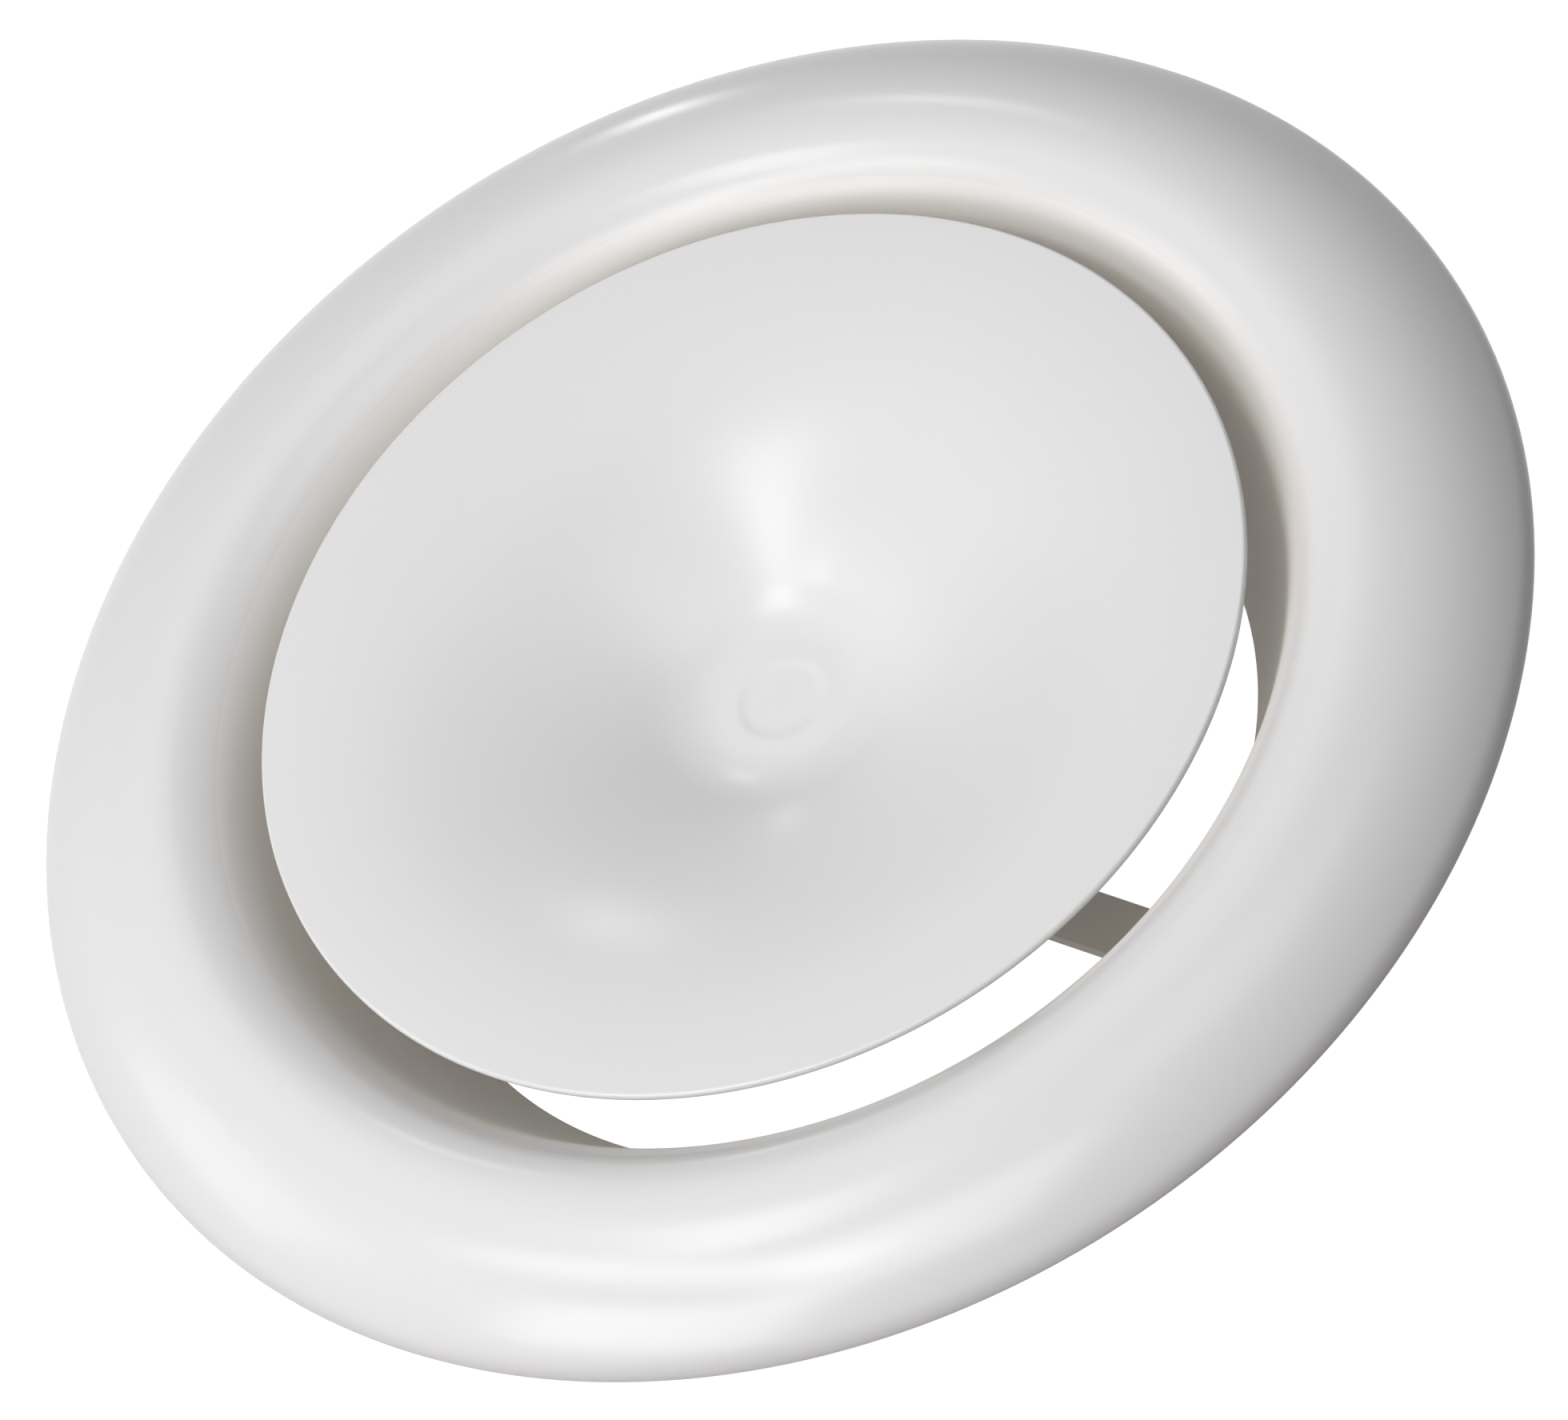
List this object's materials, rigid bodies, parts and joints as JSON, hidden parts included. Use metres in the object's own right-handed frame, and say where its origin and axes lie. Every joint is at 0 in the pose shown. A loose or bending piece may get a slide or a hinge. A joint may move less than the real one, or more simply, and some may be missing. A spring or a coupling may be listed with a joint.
{
  "type": "supply air valve",
  "caption": "Round supply air valve: pressed ring with rounded flare and funnel, and a dished disc on a threaded spindle in a bridge, turned to set the annular air slot.",
  "frame": {"origin": "on the valve's axis, in the plane of the wall or ceiling that the rim closes against", "axes": "+Z along the axis into the room, +X along the bridge"},
  "size_m": [0.165, 0.165, 0.062],
  "materials": {
    "ring_coat": "white powder coat, semi-gloss",
    "disc_coat": "white powder coat, semi-gloss",
    "gasket_foam": "closed-cell foam",
    "bridge_coat": "white powder coat, semi-gloss",
    "bush_steel": "zinc plated, turned",
    "screw_steel": "zinc plated"
  },
  "bodies": {
    "valve_frame": {"valve_ring": "ring_coat", "rim_gasket": "gasket_foam", "bridge": "bridge_coat", "spindle_bush": "bush_steel"},
    "spindle": {"spindle": "screw_steel"},
    "valve_disc": {"valve_disc": "disc_coat"},
    "lock_washer": {"lock_washer": "screw_steel"},
    "lock_nut": {"lock_nut": "screw_steel"}
  },
  "joints": [
    {"name": "disc_travel", "type": "slide", "parent": "valve_frame", "child": "spindle", "axis": [0, 0, 1], "range_m": [-0.0096, 0.012]},
    {"name": "disc_turn", "type": "hinge", "parent": "spindle", "child": "valve_disc", "pos_m": [0, 0, 0], "axis": [0, 0, 1], "range_deg": [-3459.6, 4323.6]},
    {"name": "washer_travel", "type": "slide", "parent": "valve_frame", "child": "lock_washer", "axis": [0, 0, 1], "range_m": [-0.003, 0]},
    {"name": "nut_turn", "type": "hinge", "parent": "lock_washer", "child": "lock_nut", "pos_m": [0, 0, -0.036], "axis": [0, 0, 1], "range_deg": [-1083.6, 3.6]}
  ],
  "couplings": [
    {"joint": "disc_turn", "follows": "disc_travel", "rad_per_m": 6283.2},
    {"joint": "nut_turn", "follows": "washer_travel", "rad_per_m": 6283.2}
  ]
}
